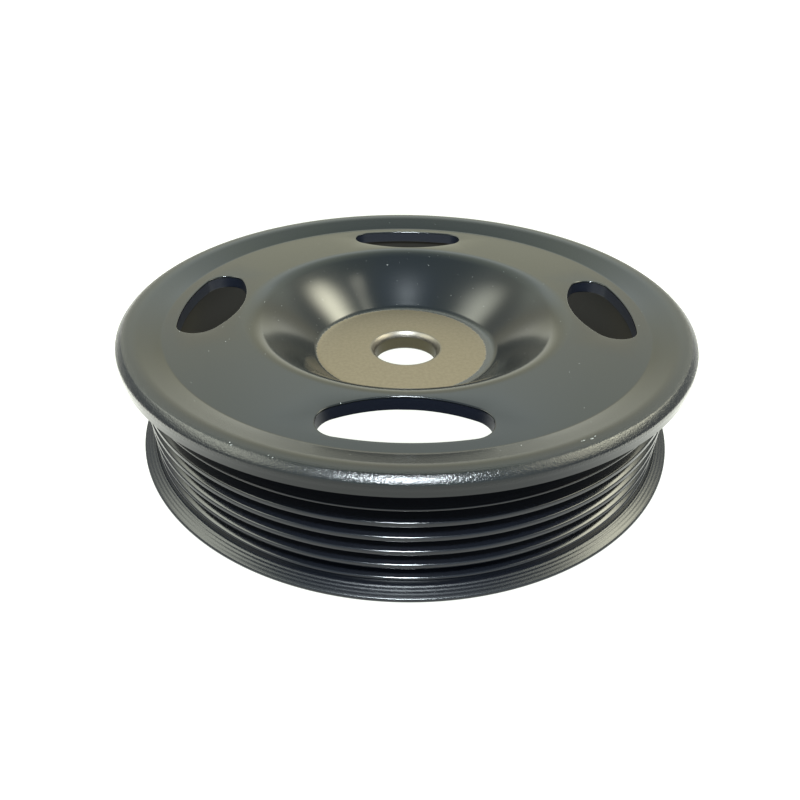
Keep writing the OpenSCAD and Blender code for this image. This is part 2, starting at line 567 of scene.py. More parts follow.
class Wiring:
    """A node tree being built: adds nodes, sets their sockets and links them."""

    def __init__(self, tree: bpy.types.NodeTree) -> None:
        """Keeps the tree that is being built."""
        self.tree = tree

    def add(self, kind: str, **settings: object) -> bpy.types.Node:
        """Adds a node.

        Args:
            kind: Blender's name for the node's type.
            settings: Properties of the node, such as its operation.

        Returns:
            The node.
        """
        node = self.tree.nodes.new(kind)
        for name, value in settings.items():
            setattr(node, name, value)
        return node

    def plug(self, socket: bpy.types.NodeSocket, value: object) -> None:
        """Links an output into an input, or gives the input its own value.

        Args:
            socket: The input.
            value: Another node's output, or a number, vector, colour or data block.
        """
        if isinstance(value, bpy.types.NodeSocket):
            self.tree.links.new(value, socket)
        else:
            socket.default_value = value

    def feed(self, node: bpy.types.Node, **sockets: object) -> bpy.types.Node:
        """Sets a node's inputs by name, to a value or to another node's output.

        Args:
            node: The node.
            sockets: Input names, with underscores for spaces, and what goes into them.

        Returns:
            The same node.
        """
        for name, value in sockets.items():
            self.plug(node.inputs[name.replace("_", " ")], value)
        return node

    def math(self, operation: str, *values: object) -> bpy.types.NodeSocket:
        """Adds a Math node.

        Args:
            operation: Its operation, such as ADD.
            values: Numbers or outputs for its inputs, in order.

        Returns:
            The result's output.
        """
        node = self.add("ShaderNodeMath", operation=operation)
        for socket, value in zip(node.inputs, values):
            self.plug(socket, value)
        return node.outputs[0]

    def product(self, first: object, *others: object) -> bpy.types.NodeSocket:
        """Adds the Math nodes that multiply masks with one another.

        Args:
            first: A number or an output.
            others: The numbers or outputs that it is multiplied by.

        Returns:
            The product's output.
        """
        for value in others:
            first = self.math("MULTIPLY", first, value)
        return first

    def flat(self, where: bpy.types.NodeSocket) -> tuple[bpy.types.NodeSocket, bpy.types.NodeSocket]:
        """Adds nodes that drop the height of a place.

        Args:
            where: Coordinates of the place.

        Returns:
            Outputs for the place without its height, and for its distance from the axis.
        """
        level = self.vector("MULTIPLY", where, (1.0, 1.0, 0.0)).outputs[0]
        return level, self.vector("LENGTH", level).outputs["Value"]

    def split(self, vector: bpy.types.NodeSocket) -> bpy.types.NodeOutputs:
        """Adds a Separate XYZ node and returns its outputs."""
        return self.feed(self.add("ShaderNodeSeparateXYZ"), Vector=vector).outputs

    def vector(self, operation: str, *values: object) -> bpy.types.Node:
        """Adds a Vector Math node.

        Args:
            operation: Its operation, such as DISTANCE.
            values: Vectors or outputs for its inputs, in order.

        Returns:
            The node.
        """
        node = self.add("ShaderNodeVectorMath", operation=operation)
        for socket, value in zip(node.inputs, values):
            self.plug(socket, value)
        return node

    def ramp(self, value: bpy.types.NodeSocket, low: float, high: float,
             out_low: float = 0.0, out_high: float = 1.0) -> bpy.types.NodeSocket:
        """Adds a smooth Map Range node.

        Args:
            value: What is mapped.
            low: Value that gives out_low.
            high: Value that gives out_high.
            out_low: Result at low.
            out_high: Result at high.

        Returns:
            The result's output.
        """
        node = self.add("ShaderNodeMapRange", interpolation_type="SMOOTHSTEP")
        self.feed(node, Value=value, From_Min=low, From_Max=high, To_Min=out_low, To_Max=out_high)
        return node.outputs["Result"]

    def fall(self, value: bpy.types.NodeSocket, low: float, high: float) -> bpy.types.NodeSocket:
        """Adds a smooth Map Range node that gives 1 up to low and 0 from high."""
        return self.ramp(value, low, high, 1.0, 0.0)

    def noise(self, where: bpy.types.NodeSocket, scale: float, detail: float = 2.0,
              rough: float = 0.5) -> bpy.types.NodeSocket:
        """Adds a Noise Texture.

        Args:
            where: The coordinates.
            scale: Its scale, in waves a metre.
            detail: Its number of octaves.
            rough: How strong the finer octaves are.

        Returns:
            Its factor's output.
        """
        node = self.add("ShaderNodeTexNoise")
        self.feed(node, Vector=where, Scale=scale, Detail=detail, Roughness=rough)
        return node.outputs["Fac"]

    def colour_mix(self, amount: object, under: object, over: object) -> bpy.types.NodeSocket:
        """Adds a Mix node for colours.

        Args:
            amount: Share of the second, a number or an output.
            under: First colour or output.
            over: Second colour or output.

        Returns:
            The result's output.
        """
        node = self.add("ShaderNodeMix", data_type="RGBA")
        self.plug(node.inputs[0], amount)
        for socket, value in ((node.inputs[6], under), (node.inputs[7], over)):
            self.plug(socket, (*value, 1.0) if isinstance(value, tuple) else value)
        return node.outputs[2]

    def number_mix(self, amount: object, under: object, over: object) -> bpy.types.NodeSocket:
        """Adds a Mix node for numbers.

        Args:
            amount: Share of the second, a number or an output.
            under: First number or output.
            over: Second number or output.

        Returns:
            The result's output.
        """
        node = self.add("ShaderNodeMix", data_type="FLOAT")
        for index, value in ((0, amount), (2, under), (3, over)):
            self.plug(node.inputs[index], value)
        return node.outputs[0]


@dataclass(frozen=True)
class PaintedGlint:
    """A painted glint of a lamp: a small bright mark in the coat, in millimetres, at an angle in degrees
    from the camera's side.
    """

    reach: float
    azimuth: float
    long: float
    wide: float

    def share(self, wiring: Wiring, flat: bpy.types.NodeSocket) -> bpy.types.NodeSocket:
        """Adds the painted glint's mask.

        Args:
            wiring: The material's tree.
            flat: Object coordinates without the height.

        Returns:
            The mask's output.
        """
        turn = math.radians(self.azimuth)
        place = (self.reach * MM * math.sin(turn), -self.reach * MM * math.cos(turn), 0.0)
        turned = wiring.add("ShaderNodeVectorRotate", rotation_type="Z_AXIS")
        wiring.feed(turned, Vector=wiring.vector("SUBTRACT", flat, place).outputs[0], Angle=-turn)
        shape = (1 / self.long, 1 / self.wide, 0.0)
        span = wiring.vector("LENGTH", wiring.vector("MULTIPLY", turned.outputs[0], shape).outputs[0])
        return wiring.fall(span.outputs["Value"], 0.5 * MM, 1.0 * MM)


@dataclass(frozen=True)
class CoatFinish:
    """The black coat over the whole pulley: glossy on the plate, coarse on the rim's edge, with specks of
    dust, painted glints on the rim, and painted bluish lamp light on the windows' walls and the belt track.
    """

    colour: Colour = (0.0042, 0.0050, 0.0052)
    blue: Colour = (0.0034, 0.0044, 0.0058)
    # painted bluish light of the front lamp on the windows' punched walls
    wall: Colour = (0.0042, 0.0062, 0.0130)
    # painted bluish light of the front lamp on the belt track's grooves and ribs
    track: Colour = (0.0032, 0.0040, 0.0066)
    inner: Colour = (0.0100, 0.0085, 0.0035)
    # grey of the dust specks, and of the painted glints on the rim
    dust: Colour = (0.26, 0.27, 0.26)
    roughness: float = 0.14
    dish_roughness: float = 0.165
    crown_roughness: float = 0.22
    rim_roughness: float = 0.27
    wall_roughness: float = 0.42
    # radii and heights between which a zone fades in or lies
    dish_edge: Span = (37.0 * MM, 39.5 * MM)
    crown_start: Span = (57.6 * MM, 60.8 * MM)
    edge_start: Span = (63.9 * MM, 65.0 * MM)
    edge_low: Span = (27.3 * MM, 28.0 * MM)
    track_r: float = 60.0 * MM
    track_top: float = 25.2 * MM
    rim_r: float = 63.8 * MM
    rim_top: float = 2.1 * MM
    drum_r: Span = (44.0 * MM, 60.0 * MM)
    drum_top: Span = (23.9 * MM, 24.2 * MM)
    window_r: Span = (40.3 * MM, 55.0 * MM)
    window_low: Span = (24.25 * MM, 24.45 * MM)
    window_high: Span = (26.85 * MM, 27.1 * MM)
    cloud_scale: float = 28.0
    cloud: Span = (0.35, 0.65)
    # bumps of the coarse edge and of the plain coat: heights in metres, waves a metre
    grain: float = 0.00006
    grain_scale: float = 3700.0
    plain: float = 0.0000012
    plain_scale: float = 420.0
    # specks of dust: cells a metre and size in a cell, then how often, where and how strong
    specks: tuple[tuple[float, float], ...] = ((150.0, 0.013), (330.0, 0.022))
    speck_least: float = 0.4
    speck_share: float = 0.30
    dusty_dish: Span = (33.0 * MM, 42.0 * MM)
    dusty_plate: float = 0.22
    dust_low: float = 15.6 * MM
    dust_r: float = 61.0 * MM
    dust_scale: float = 700.0
    dust_strength: tuple[float, ...] = (0.3, 0.7, 0.25, 0.9)
    # how the painted glints break up
    patch_scale: float = 2600.0
    patch_strength: tuple[float, ...] = (0.35, 0.55, 0.0, 0.9)
    # painted glints of the lamps on the rim, as small bright marks
    painted_glints: tuple[PaintedGlint, ...] = (
        PaintedGlint(63.6, 28.0, 0.55, 0.16),
        PaintedGlint(63.9, 29.5, 0.45, 0.20),
        PaintedGlint(63.6, 30.4, 0.25, 0.12),
        PaintedGlint(65.3, -25.7, 0.22, 0.20),
        PaintedGlint(64.9, -26.3, 0.16, 0.14),
        PaintedGlint(65.1, -19.5, 0.20, 0.14),
        PaintedGlint(65.3, -18.7, 0.14, 0.12),
        PaintedGlint(59.5, 15.6, 0.14, 0.30),
        PaintedGlint(58.9, 19.6, 0.12, 0.42),
    )

    def build(self, wiring: Wiring, where: bpy.types.NodeSocket) -> tuple[bpy.types.NodeSocket, ...]:
        """Adds the coat's nodes.

        Args:
            wiring: The material's tree.
            where: Object coordinates.

        Returns:
            Outputs for the colour, the roughness and the height of the bump in metres.
        """
        height = wiring.split(where)["Z"]
        flat, reach = wiring.flat(where)
        above = wiring.ramp(height, *self.edge_low)
        on_crown = wiring.product(wiring.ramp(reach, *self.crown_start), above)
        on_edge = wiring.product(wiring.ramp(reach, *self.edge_start), above)
        # the windows' walls get a rougher coat and painted bluish lamp light
        on_wall = self.window_wall(wiring, reach, height)
        # the belt track gets painted bluish lamp light
        track_light_share = self.low_outside(wiring, reach, self.track_r, height, self.track_top)
        on_rim = self.low_outside(wiring, reach, self.rim_r, height, self.rim_top)
        in_drum = wiring.product(
            wiring.fall(height, *self.drum_top),
            wiring.math("LESS_THAN", reach, self.drum_r[1]),
            wiring.math("GREATER_THAN", reach, self.drum_r[0]),
        )
        dust_and_glint_share = self.dust_share(wiring, where, flat, reach, height)
        patches = wiring.ramp(wiring.noise(where, self.patch_scale), *self.patch_strength)
        patches = wiring.product(patches, above)
        # the painted glints on the rim join the dust specks' mask
        for glint in self.painted_glints:
            mark = wiring.product(glint.share(wiring, flat), patches)
            dust_and_glint_share = wiring.math("MAXIMUM", dust_and_glint_share, mark)
        cloud = wiring.ramp(wiring.noise(where, self.cloud_scale, detail=3.0), *self.cloud)
        colour = wiring.colour_mix(cloud, self.colour, self.blue)
        tints = ((on_wall, self.wall), (track_light_share, self.track), (in_drum, self.inner), (dust_and_glint_share, self.dust))
        for share, tint in tints:
            colour = wiring.colour_mix(share, colour, tint)
        dull = wiring.math("MAXIMUM", wiring.math("MAXIMUM", on_wall, in_drum), dust_and_glint_share)
        rough = wiring.ramp(reach, *self.dish_edge, self.dish_roughness, self.roughness)
        rough = wiring.number_mix(on_crown, rough, self.crown_roughness)
        rough = wiring.number_mix(on_rim, rough, self.rim_roughness)
        rough = wiring.number_mix(dull, rough, self.wall_roughness)
        coarse = wiring.product(wiring.noise(where, self.grain_scale, detail=1.5), self.grain, on_edge)
        plain = wiring.product(wiring.noise(where, self.plain_scale), self.plain)
        return colour, rough, wiring.math("ADD", coarse, plain)

    def dust_share(self, wiring: Wiring, where: bpy.types.NodeSocket, flat: bpy.types.NodeSocket,
                   reach: bpy.types.NodeSocket, height: bpy.types.NodeSocket) -> bpy.types.NodeSocket:
        """Adds a mask for the specks of dust that lie on the upper side, most of them in the dish.

        Args:
            wiring: The material's tree.
            where: Object coordinates.
            flat: The same, without the height.
            reach: Distance from the axis.
            height: Height above the base.

        Returns:
            The mask's output.
        """
        likely = wiring.ramp(reach, *self.dusty_dish, 1.0, self.dusty_plate)
        often = wiring.product(likely, self.speck_share)
        total = None
        for scale, size in self.specks:
            cells = wiring.add("ShaderNodeTexVoronoi", voronoi_dimensions="2D")
            wiring.feed(cells, Vector=flat, Scale=scale, Randomness=1.0)
            pick = wiring.split(cells.outputs["Color"])
            chosen = wiring.math("LESS_THAN", pick["X"], often)
            small = wiring.product(wiring.math("ADD", pick["Y"], self.speck_least), size)
            spot = wiring.product(chosen, wiring.math("LESS_THAN", cells.outputs["Distance"], small))
            total = spot if total is None else wiring.math("MAXIMUM", total, spot)
        raised = wiring.math("GREATER_THAN", height, self.dust_low)
        inside = wiring.math("LESS_THAN", reach, self.dust_r)
        strength = wiring.ramp(wiring.noise(where, self.dust_scale, detail=1.0), *self.dust_strength)
        return wiring.product(total, raised, inside, strength)

    def window_wall(self, wiring: Wiring, reach: bpy.types.NodeSocket,
                    height: bpy.types.NodeSocket) -> bpy.types.NodeSocket:
        """Adds a mask for the windows' punched walls, which lie between the plate's two sides and get
        painted bluish lamp light.

        Args:
            wiring: The material's tree.
            reach: Distance from the axis.
            height: Height above the base.

        Returns:
            The mask's output.
        """
        return wiring.product(
            wiring.ramp(height, *self.window_low),
            wiring.fall(height, *self.window_high),
            wiring.math("LESS_THAN", reach, self.window_r[1]),
            wiring.math("GREATER_THAN", reach, self.window_r[0]),
        )

    @staticmethod
    def low_outside(wiring: Wiring, reach: bpy.types.NodeSocket, inner: float,
                    height: bpy.types.NodeSocket, top: float) -> bpy.types.NodeSocket:
        """Adds a mask for what lies outside a radius and below a height.

        Args:
            wiring: The material's tree.
            reach: Distance from the axis.
            inner: The radius.
            height: Height above the base.
            top: The height.

        Returns:
            The mask's output.
        """
        outside = wiring.math("GREATER_THAN", reach, inner)
        return wiring.product(outside, wiring.math("LESS_THAN", height, top))


@dataclass(frozen=True)
class MachinedFinish:
    """The bare face round the bore, turned and then left matt, with a greyer rim and a smoother lip."""

    colour: Colour = (0.240, 0.200, 0.146)
    dark: Colour = (0.222, 0.184, 0.132)
    rim: Colour = (0.16, 0.155, 0.145)
    lip: Colour = (0.190, 0.172, 0.148)
    bore: Colour = (0.105, 0.095, 0.062)
    roughness: float = 0.42
    spread: float = 0.04
    lip_roughness: float = 0.42
    # the bare patch was turned a little off the axis, with a ragged edge
    centre: Point3 = (-1.15 * MM, 0.0, 0.0)
    radius: float = 21.9 * MM
    fade: float = 0.25 * MM
    ragged: float = 0.9 * MM
    ragged_scale: float = 1600.0
    rim_r: Span = (22.3 * MM, 23.1 * MM)
    rim_share: float = 0.15
    lip_r: Span = (9.6 * MM, 8.8 * MM)
    # heights between which the bare steel ends above and below, and the bore's dark begins
    top: Span = (16.3 * MM, 16.9 * MM)
    low: Span = (9.0 * MM, 11.5 * MM)
    bore_top: Span = (13.7 * MM, 14.3 * MM)
    grain_scale: float = 1100.0
    grain: Span = (0.3, 0.7)
    bump: float = 0.003 * MM
    bump_scale: float = 1800.0

    def build(self, wiring: Wiring, where: bpy.types.NodeSocket) -> tuple[bpy.types.NodeSocket, ...]:
        """Adds the bare steel's nodes.

        Args:
            wiring: The material's tree.
            where: Object coordinates.

        Returns:
            Outputs for the share of bare steel, its colour, its roughness and its bump in metres.
        """
        height = wiring.split(where)["Z"]
        _, off_centre = wiring.flat(wiring.vector("SUBTRACT", where, self.centre).outputs[0])
        _, reach = wiring.flat(where)
        wander = wiring.math("SUBTRACT", wiring.noise(where, self.ragged_scale, detail=3.0), 0.5)
        wander = wiring.product(wander, self.ragged)
        edge = wiring.math("ADD", off_centre, wander)
        on_face = wiring.fall(edge, self.radius - self.fade, self.radius + self.fade)
        rim_edge = wiring.math("ADD", reach, wander)
        on_rim = wiring.product(wiring.fall(rim_edge, *self.rim_r), self.rim_share)
        share = wiring.product(
            wiring.math("MAXIMUM", on_face, on_rim),
            wiring.fall(height, *self.top),
            wiring.ramp(height, *self.low),
        )
        grain = wiring.ramp(wiring.noise(where, self.grain_scale, detail=4.0, rough=0.6), *self.grain)
        colour = wiring.colour_mix(grain, self.dark, self.colour)
        colour = wiring.colour_mix(on_face, self.rim, colour)
        on_lip = wiring.ramp(reach, *self.lip_r)
        colour = wiring.colour_mix(on_lip, colour, self.lip)
        in_bore = wiring.fall(height, *self.bore_top)
        colour = wiring.colour_mix(in_bore, colour, self.bore)
        rough = wiring.ramp(grain, 0.0, 1.0, self.roughness + self.spread, self.roughness - self.spread)
        rough = wiring.number_mix(on_lip, rough, self.lip_roughness)
        bump = wiring.product(wiring.noise(where, self.bump_scale, detail=3.0, rough=0.6), self.bump)
        return share, colour, rough, bump


@dataclass(frozen=True)
class PulleyFinish:
    """The pulley's one material: the coat, and bare steel on the hub's face."""

    coat: CoatFinish = field(default_factory=CoatFinish)
    machined: MachinedFinish = field(default_factory=MachinedFinish)

    def material(self) -> bpy.types.Material:
        """Builds the material.

        Returns:
            The material, which reads Object coordinates.
        """
        made = bpy.data.materials.new("coated_steel")
        made.use_nodes = True
        wiring = Wiring(made.node_tree)
        shader = made.node_tree.nodes["Principled BSDF"]
        where = wiring.add("ShaderNodeTexCoord").outputs["Object"]
        colour, rough, peel = self.coat.build(wiring, where)
        share, steel, steel_rough, grain = self.machined.build(wiring, where)
        height = wiring.number_mix(share, peel, grain)
        bump = wiring.add("ShaderNodeBump")
        wiring.feed(bump, Height=height, Strength=1.0, Distance=1.0)
        wiring.feed(
            shader,
            Base_Color=wiring.colour_mix(share, colour, steel),
            Metallic=share,
            Roughness=wiring.number_mix(share, rough, steel_rough),
            Normal=bump.outputs["Normal"],
        )
        return made


@dataclass
class PulleyBody:
    """The pulley as one piece: two swept parts of its section, and the plate with its windows."""

    section: Section = field(default_factory=Section)
    window: Window = field(default_factory=Window)
    finish: PulleyFinish = field(default_factory=PulleyFinish)
    windows: int = 4
    first_window: float = -90.0
    steps: int = 240
    # degrees between two faces above which their edge is sharp
    sharp: float = 28.0
    sweep_r: float = 50.0
    weld: float = 0.002 * MM

    def section_object(self, name: str, points: Iterable[Point2]) -> bpy.types.Object:
        """Makes a line of edges that the tree sweeps round the axis.

        Args:
            name: Name of the object.
            points: The section's points, radius and height, in millimetres.

        Returns:
            The object, which isn't linked to the scene.
        """
        placed = [((r - self.sweep_r) * MM, -z * MM, 0.0) for r, z in points]
        made = bpy.data.meshes.new(name)
        made.from_pydata(placed, [(i, i + 1) for i in range(len(placed) - 1)], [])
        return bpy.data.objects.new(name, made)

    def tree(self, material: bpy.types.Material) -> bpy.types.NodeTree:
        """Builds the tree that sweeps the sections and repeats the plate's sector.

        Args:
            material: The material that the tree sets.

        Returns:
            The tree, with named inputs for the sections, the sector, the counts and the angle.
        """
        tree = bpy.data.node_groups.new("pulley_body", "GeometryNodeTree")
        face = tree.interface
        for name in ("Dish Section", "Rim Section", "Plate Sector"):
            face.new_socket(name=name, in_out="INPUT", socket_type="NodeSocketObject")
        for name in ("Steps", "Windows"):
            face.new_socket(name=name, in_out="INPUT", socket_type="NodeSocketInt")
        for name in ("Sweep Radius", "First Window", "Sharp Angle"):
            face.new_socket(name=name, in_out="INPUT", socket_type="NodeSocketFloat")
        face.new_socket(name="Geometry", in_out="OUTPUT", socket_type="NodeSocketGeometry")
        wiring = Wiring(tree)
        given = wiring.add("NodeGroupInput").outputs
        path = wiring.add("GeometryNodeCurvePrimitiveCircle")
        wiring.feed(path, Resolution=given["Steps"], Radius=given["Sweep Radius"])
        joined = wiring.add("GeometryNodeJoinGeometry")
        for name in ("Dish Section", "Rim Section"):
            source = wiring.feed(wiring.add("GeometryNodeObjectInfo"), Object=given[name])
            line = wiring.feed(wiring.add("GeometryNodeMeshToCurve"), Mesh=source.outputs["Geometry"])
            swept = wiring.add("GeometryNodeCurveToMesh")
            wiring.feed(swept, Curve=path.outputs["Curve"], Profile_Curve=line.outputs["Curve"])
            tree.links.new(swept.outputs["Mesh"], joined.inputs[0])
        sector = wiring.feed(wiring.add("GeometryNodeObjectInfo"), Object=given["Plate Sector"])
        centres = wiring.feed(wiring.add("GeometryNodeMeshLine"), Count=given["Windows"], Offset=(0, 0, 0))
        turn = wiring.math("DIVIDE", math.tau, given["Windows"])
        turned = wiring.math("MULTIPLY", wiring.add("GeometryNodeInputIndex").outputs[0], turn)
        angle = wiring.add("ShaderNodeCombineXYZ")
        wiring.feed(angle, Z=wiring.math("ADD", turned, given["First Window"]))
        placed = wiring.add("GeometryNodeInstanceOnPoints")
        wiring.feed(placed, Points=centres.outputs["Mesh"], Instance=sector.outputs["Geometry"],
                    Rotation=angle.outputs["Vector"])
        real = wiring.feed(wiring.add("GeometryNodeRealizeInstances"), Geometry=placed.outputs["Instances"])
        tree.links.new(real.outputs["Geometry"], joined.inputs[0])
        merged = wiring.add("GeometryNodeMergeByDistance")
        wiring.feed(merged, Geometry=joined.outputs["Geometry"], Distance=self.weld)
        smooth = wiring.feed(wiring.add("GeometryNodeSetShadeSmooth"), Geometry=merged.outputs["Geometry"])
        creased = wiring.add("GeometryNodeSetShadeSmooth", domain="EDGE")
        bent = wiring.add("GeometryNodeInputMeshEdgeAngle").outputs["Unsigned Angle"]
        is_sharp = wiring.add("FunctionNodeCompare", operation="GREATER_THAN")
        tree.links.new(bent, is_sharp.inputs[0])
        tree.links.new(given["Sharp Angle"], is_sharp.inputs[1])
        wiring.feed(creased, Geometry=smooth.outputs["Geometry"], Selection=is_sharp.outputs[0],
                    Shade_Smooth=False)
        solid = wiring.add("GeometryNodeRealizeInstances")
        wiring.feed(solid, Geometry=creased.outputs["Geometry"])
        dressed = wiring.add("GeometryNodeSetMaterial")
        wiring.feed(dressed, Geometry=solid.outputs["Geometry"], Material=material)
        tree.links.new(dressed.outputs["Geometry"], wiring.add("NodeGroupOutput").inputs[0])
        return tree

    def build(self) -> bpy.types.Object:
        """Builds the pulley and puts it in the place of its CAD node.

        Returns:
            The finished object.
        """
        material = self.finish.material()
        dish = self.section_object("dish_section", self.section.hub_and_dish())
        rim = self.section_object("rim_section", self.section.rim_and_drum())
        sector = PlateSector(self.section, self.window, self.windows, self.steps)
        plate = bpy.data.objects.new("plate_sector", sector.mesh())
        tree = self.tree(material)
        sizes = {
            "Dish Section": dish,
            "Rim Section": rim,
            "Plate Sector": plate,
            "Steps": self.steps,
            "Windows": self.windows,
            "Sweep Radius": self.sweep_r * MM,
            "First Window": math.radians(self.first_window),
            "Sharp Angle": math.radians(self.sharp),
        }
        body = baked("crankshaft_pulley", tree, sizes)
        for scratch in (dish, rim, plate):
            bpy.data.objects.remove(scratch)
        close_and_turn_out(body)
        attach(body, "root")
        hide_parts("pulley")
        return body


def baked(name: str, tree: bpy.types.NodeTree, sizes: dict[str, object]) -> bpy.types.Object:
    """Runs a geometry tree and keeps its result as a plain mesh at the origin.

    Args:
        name: Name of the piece.
        tree: The tree.
        sizes: Values of the tree's inputs by name.

    Returns:
        An object with that mesh and no modifier.
    """
    host = bpy.data.objects.new(name + "_host", bpy.data.meshes.new(name + "_host"))
    bpy.context.scene.collection.objects.link(host)
    modifier = host.modifiers.new("build", "NODES")
    modifier.node_group = tree
    for item in tree.interface.items_tree:
        if item.in_out == "INPUT" and item.name in sizes:
            modifier[item.identifier] = sizes[item.name]
    graph = bpy.context.evaluated_depsgraph_get()
    mesh = bpy.data.meshes.new_from_object(host.evaluated_get(graph), depsgraph=graph)
    mesh.name = name
    bpy.data.objects.remove(host)
    made = bpy.data.objects.new(name, mesh)
    bpy.context.scene.collection.objects.link(made)
    return made


def close_and_turn_out(obj: bpy.types.Object) -> None:
    """Turns a closed mesh's faces outwards, and says so if an edge is left open.

    Args:
        obj: The object whose mesh is closed.
    """
    work = bmesh.new()
    work.from_mesh(obj.data)
    bmesh.ops.recalc_face_normals(work, faces=work.faces)
    if work.calc_volume(signed=True) < 0:
        bmesh.ops.reverse_faces(work, faces=work.faces)
    open_edges = sum(1 for e in work.edges if len(e.link_faces) != 2)
    if open_edges:
        LOG.warning("%s has %d open or shared edges", obj.name, open_edges)
    LOG.info("%s holds %.1f mm3", obj.name, work.calc_volume() * 1e9)
    work.to_mesh(obj.data)
    work.free()


@dataclass
class PhotoCamera:
    """The photograph's camera, found from the circles and windows of the pulley."""

    distance: float = 147.3263 * MM
    elevation: float = 25.2796
    target_z: float = 27.4 * MM
    yaw: float = 0.442
    pitch: float = -9.3117
    roll: float = -0.7993
    focal_px: float = 585.14
    frame_px: float = 800.0
    # half a pixel, from a pixel's corner to its middle
    off_px: float = 0.5
    sensor: float = 36.0

    def build(self) -> bpy.types.Object:
        """Makes the camera and gives it to the scene.

        Returns:
            The camera.
        """
        data = bpy.data.cameras.new("photo_camera")
        data.sensor_width = self.sensor
        data.lens = self.sensor * self.focal_px / self.frame_px
        data.shift_x, data.shift_y = -self.off_px / self.frame_px, self.off_px / self.frame_px
        data.clip_start, data.clip_end = 0.01, 20.0
        up = math.radians(self.elevation)
        base = Matrix(((1, 0, 0), (0, math.sin(up), math.cos(up)), (0, math.cos(up), -math.sin(up))))
        turns = ((self.roll, "Z"), (self.pitch, "X"), (self.yaw, "Y"))
        roll, pitch, yaw = (Matrix.Rotation(math.radians(turn), 3, axis) for turn, axis in turns)
        right, top, ahead = roll @ pitch @ yaw @ base
        place = Matrix((right, top, -ahead)).transposed().to_4x4()
        height = self.target_z + self.distance * math.sin(up)
        place.translation = (0, -self.distance * math.cos(up), height)
        camera = bpy.data.objects.new("photo_camera", data)
        camera.matrix_world = place
        bpy.context.scene.collection.objects.link(camera)
        bpy.context.scene.camera = camera
        return camera


@dataclass(frozen=True)
class SoftLight:
    """One rectangular studio light, whose glow may fade towards its edges."""

    name: str
    azimuth: float
    elevation: float
    distance: float
    width: float
    height: float
    radiance: float
    colour: Colour = (1.0, 1.0, 1.0)
    roll: float = 0.0
    soft_x: float = 0.0
    soft_y: float = 0.0
    aim: Point3 = (0.0, 0.0, 0.027)

    def build(self) -> bpy.types.Object:
        """Makes the light, aimed at the pulley; azimuth 0 is the camera's side and 90 the right.

        Returns:
            The light.
        """
        data = bpy.data.lights.new(self.name, "AREA")
        data.shape = "RECTANGLE"
        data.size, data.size_y = self.width, self.height
        data.energy = self.radiance * math.pi * self.width * self.height
        data.color = self.colour
        if self.soft_x or self.soft_y:
            self.fade(data)
        lamp = bpy.data.objects.new(self.name, data)
        flat = math.cos(math.radians(self.elevation)) * self.distance
        turn = math.radians(self.azimuth)
        offset = Vector((flat * math.sin(turn), -flat * math.cos(turn),
                         math.sin(math.radians(self.elevation)) * self.distance))
        lamp.location = Vector(self.aim) + offset
        spin = Quaternion((0.0, 0.0, 1.0), math.radians(self.roll))
        lamp.rotation_euler = ((-offset).to_track_quat("-Z", "Y") @ spin).to_euler()
        bpy.context.scene.collection.objects.link(lamp)
        return lamp

    def fade(self, data: bpy.types.AreaLight) -> None:
        """Lets the light's glow fade towards its edges.

        Args:
            data: The light's data.
        """
        data.use_nodes = True
        wiring = Wiring(data.node_tree)
        apart = wiring.split(wiring.add("ShaderNodeNewGeometry").outputs["Parametric"])
        shares = []
        for axis, soft in (("X", self.soft_x), ("Y", self.soft_y)):
            off = wiring.math("ABSOLUTE", wiring.math("MULTIPLY_ADD", apart[axis], 2.0, -1.0))
            shares.append(wiring.fall(off, 1.0 - soft, 1.0))
        wiring.feed(data.node_tree.nodes["Emission"], Strength=wiring.product(*shares))


@dataclass(frozen=True)
class SkyBand:
    """How bright the room is at one elevation."""

    elevation: float
    colour: Colour


